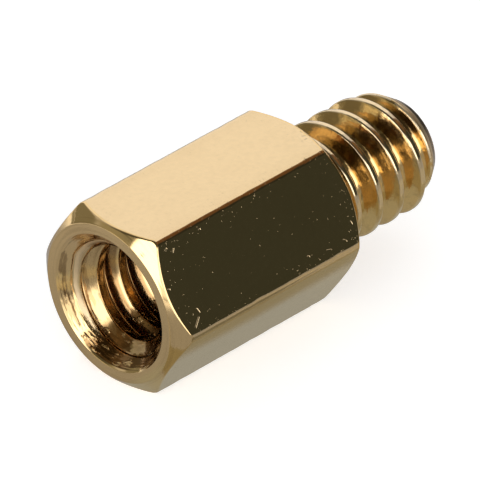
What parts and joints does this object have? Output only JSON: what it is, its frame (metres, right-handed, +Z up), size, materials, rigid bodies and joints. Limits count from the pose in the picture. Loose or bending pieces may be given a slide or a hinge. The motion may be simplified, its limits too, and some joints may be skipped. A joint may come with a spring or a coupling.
{
  "type": "hex standoff",
  "caption": "Male-female brass hex standoff: a hexagonal body with a countersunk tapped hole at one end and a threaded stud at the other.",
  "frame": {"origin": "on the axis, in the plane of the shoulder that the stud rises from", "axes": "+X along the axis towards the stud's tip, so the tapped hole opens to -X; +Z up, square to one flat of the hexagon; +Y across two opposite corners of the hexagon"},
  "size_m": [0.011, 0.0054, 0.0048],
  "materials": {
    "brass": "bright drawn flats with fine turning marks on the chamfers, countersink and stud"
  },
  "bodies": {
    "root": {"standoff": "brass"}
  },
  "joints": []
}
